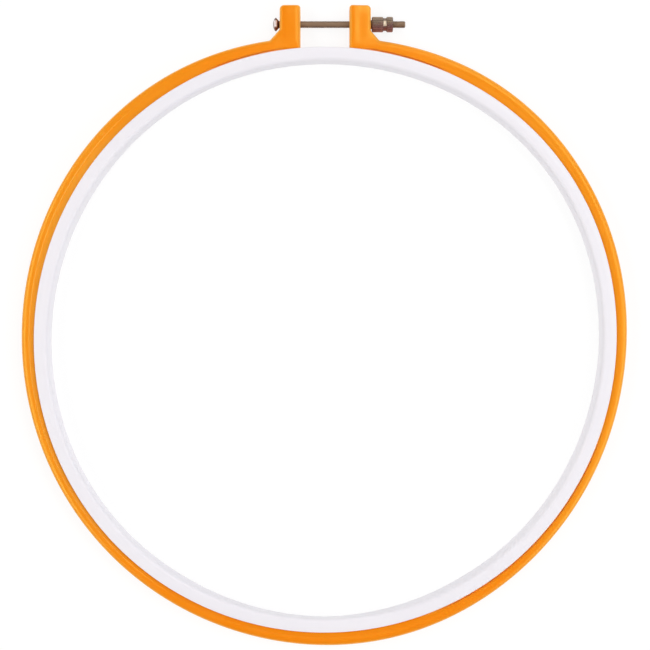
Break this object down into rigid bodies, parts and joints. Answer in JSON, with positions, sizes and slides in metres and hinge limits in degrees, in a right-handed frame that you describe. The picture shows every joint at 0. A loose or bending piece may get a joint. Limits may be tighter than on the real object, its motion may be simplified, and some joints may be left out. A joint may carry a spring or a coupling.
{
  "type": "embroidery hoop",
  "caption": "Embroidery hoop: a split outer ring with clamp lugs, drawn closed by a screw and knurled nut around a lipped inner ring.",
  "frame": {"origin": "middle of the bounding box in X and Y, on the plane of the back faces that the hoop lies on", "axes": "+Z out of the front of the hoop, +Y from the rings towards the clamp lugs, +X along the clamp screw from its head to its nut"},
  "size_m": [0.2612, 0.2764, 0.01],
  "materials": {
    "outer_ring_plastic": "orange moulded plastic, satin gloss",
    "inner_ring_plastic": "white moulded plastic with a faint lavender cast, satin gloss",
    "screw_metal": "dark antique nickel plating on brass, satin",
    "nut_metal": "dark antique nickel plating on brass, knurled"
  },
  "bodies": {
    "ring_base": {"outer_ring_base": "outer_ring_plastic"},
    "left_arm": {"outer_ring_left_arm": "outer_ring_plastic"},
    "right_arm": {"outer_ring_right_arm": "outer_ring_plastic"},
    "inner_ring": {"inner_ring": "inner_ring_plastic"},
    "clamp_screw": {"clamp_screw": "screw_metal"},
    "clamp_nut": {"clamp_nut": "nut_metal"}
  },
  "joints": [
    {"name": "left_arm_bend", "type": "hinge", "parent": "ring_base", "child": "left_arm", "pos_m": [-0.02173, -0.13212, 0.00445], "axis": [0, 0, 1], "range_deg": [-0.27291, 0.54583]},
    {"name": "right_arm_bend", "type": "hinge", "parent": "ring_base", "child": "right_arm", "pos_m": [0.02272, -0.13212, 0.00445], "axis": [0, 0, 1], "range_deg": [-0.54583, 0.27291]},
    {"name": "nut_turn", "type": "hinge", "parent": "right_arm", "child": "clamp_nut", "pos_m": [0.025, 0.13031, 0.00445], "axis": [1, 0, 0], "range_deg": [-1800, 3600]},
    {"name": "screw_draw", "type": "slide", "parent": "right_arm", "child": "clamp_screw", "axis": [1, 0, 0], "range_m": [-0.005, 0.0025]},
    {"name": "inner_ring_lift", "type": "slide", "parent": "ring_base", "child": "inner_ring", "axis": [0, 0, 1], "range_m": [0, 0.02]}
  ],
  "couplings": [
    {"joint": "right_arm_bend", "follows": "left_arm_bend", "ratio": -1},
    {"joint": "nut_turn", "follows": "left_arm_bend", "ratio": 6595.5},
    {"joint": "screw_draw", "follows": "left_arm_bend", "m_per_rad": -0.52485}
  ]
}
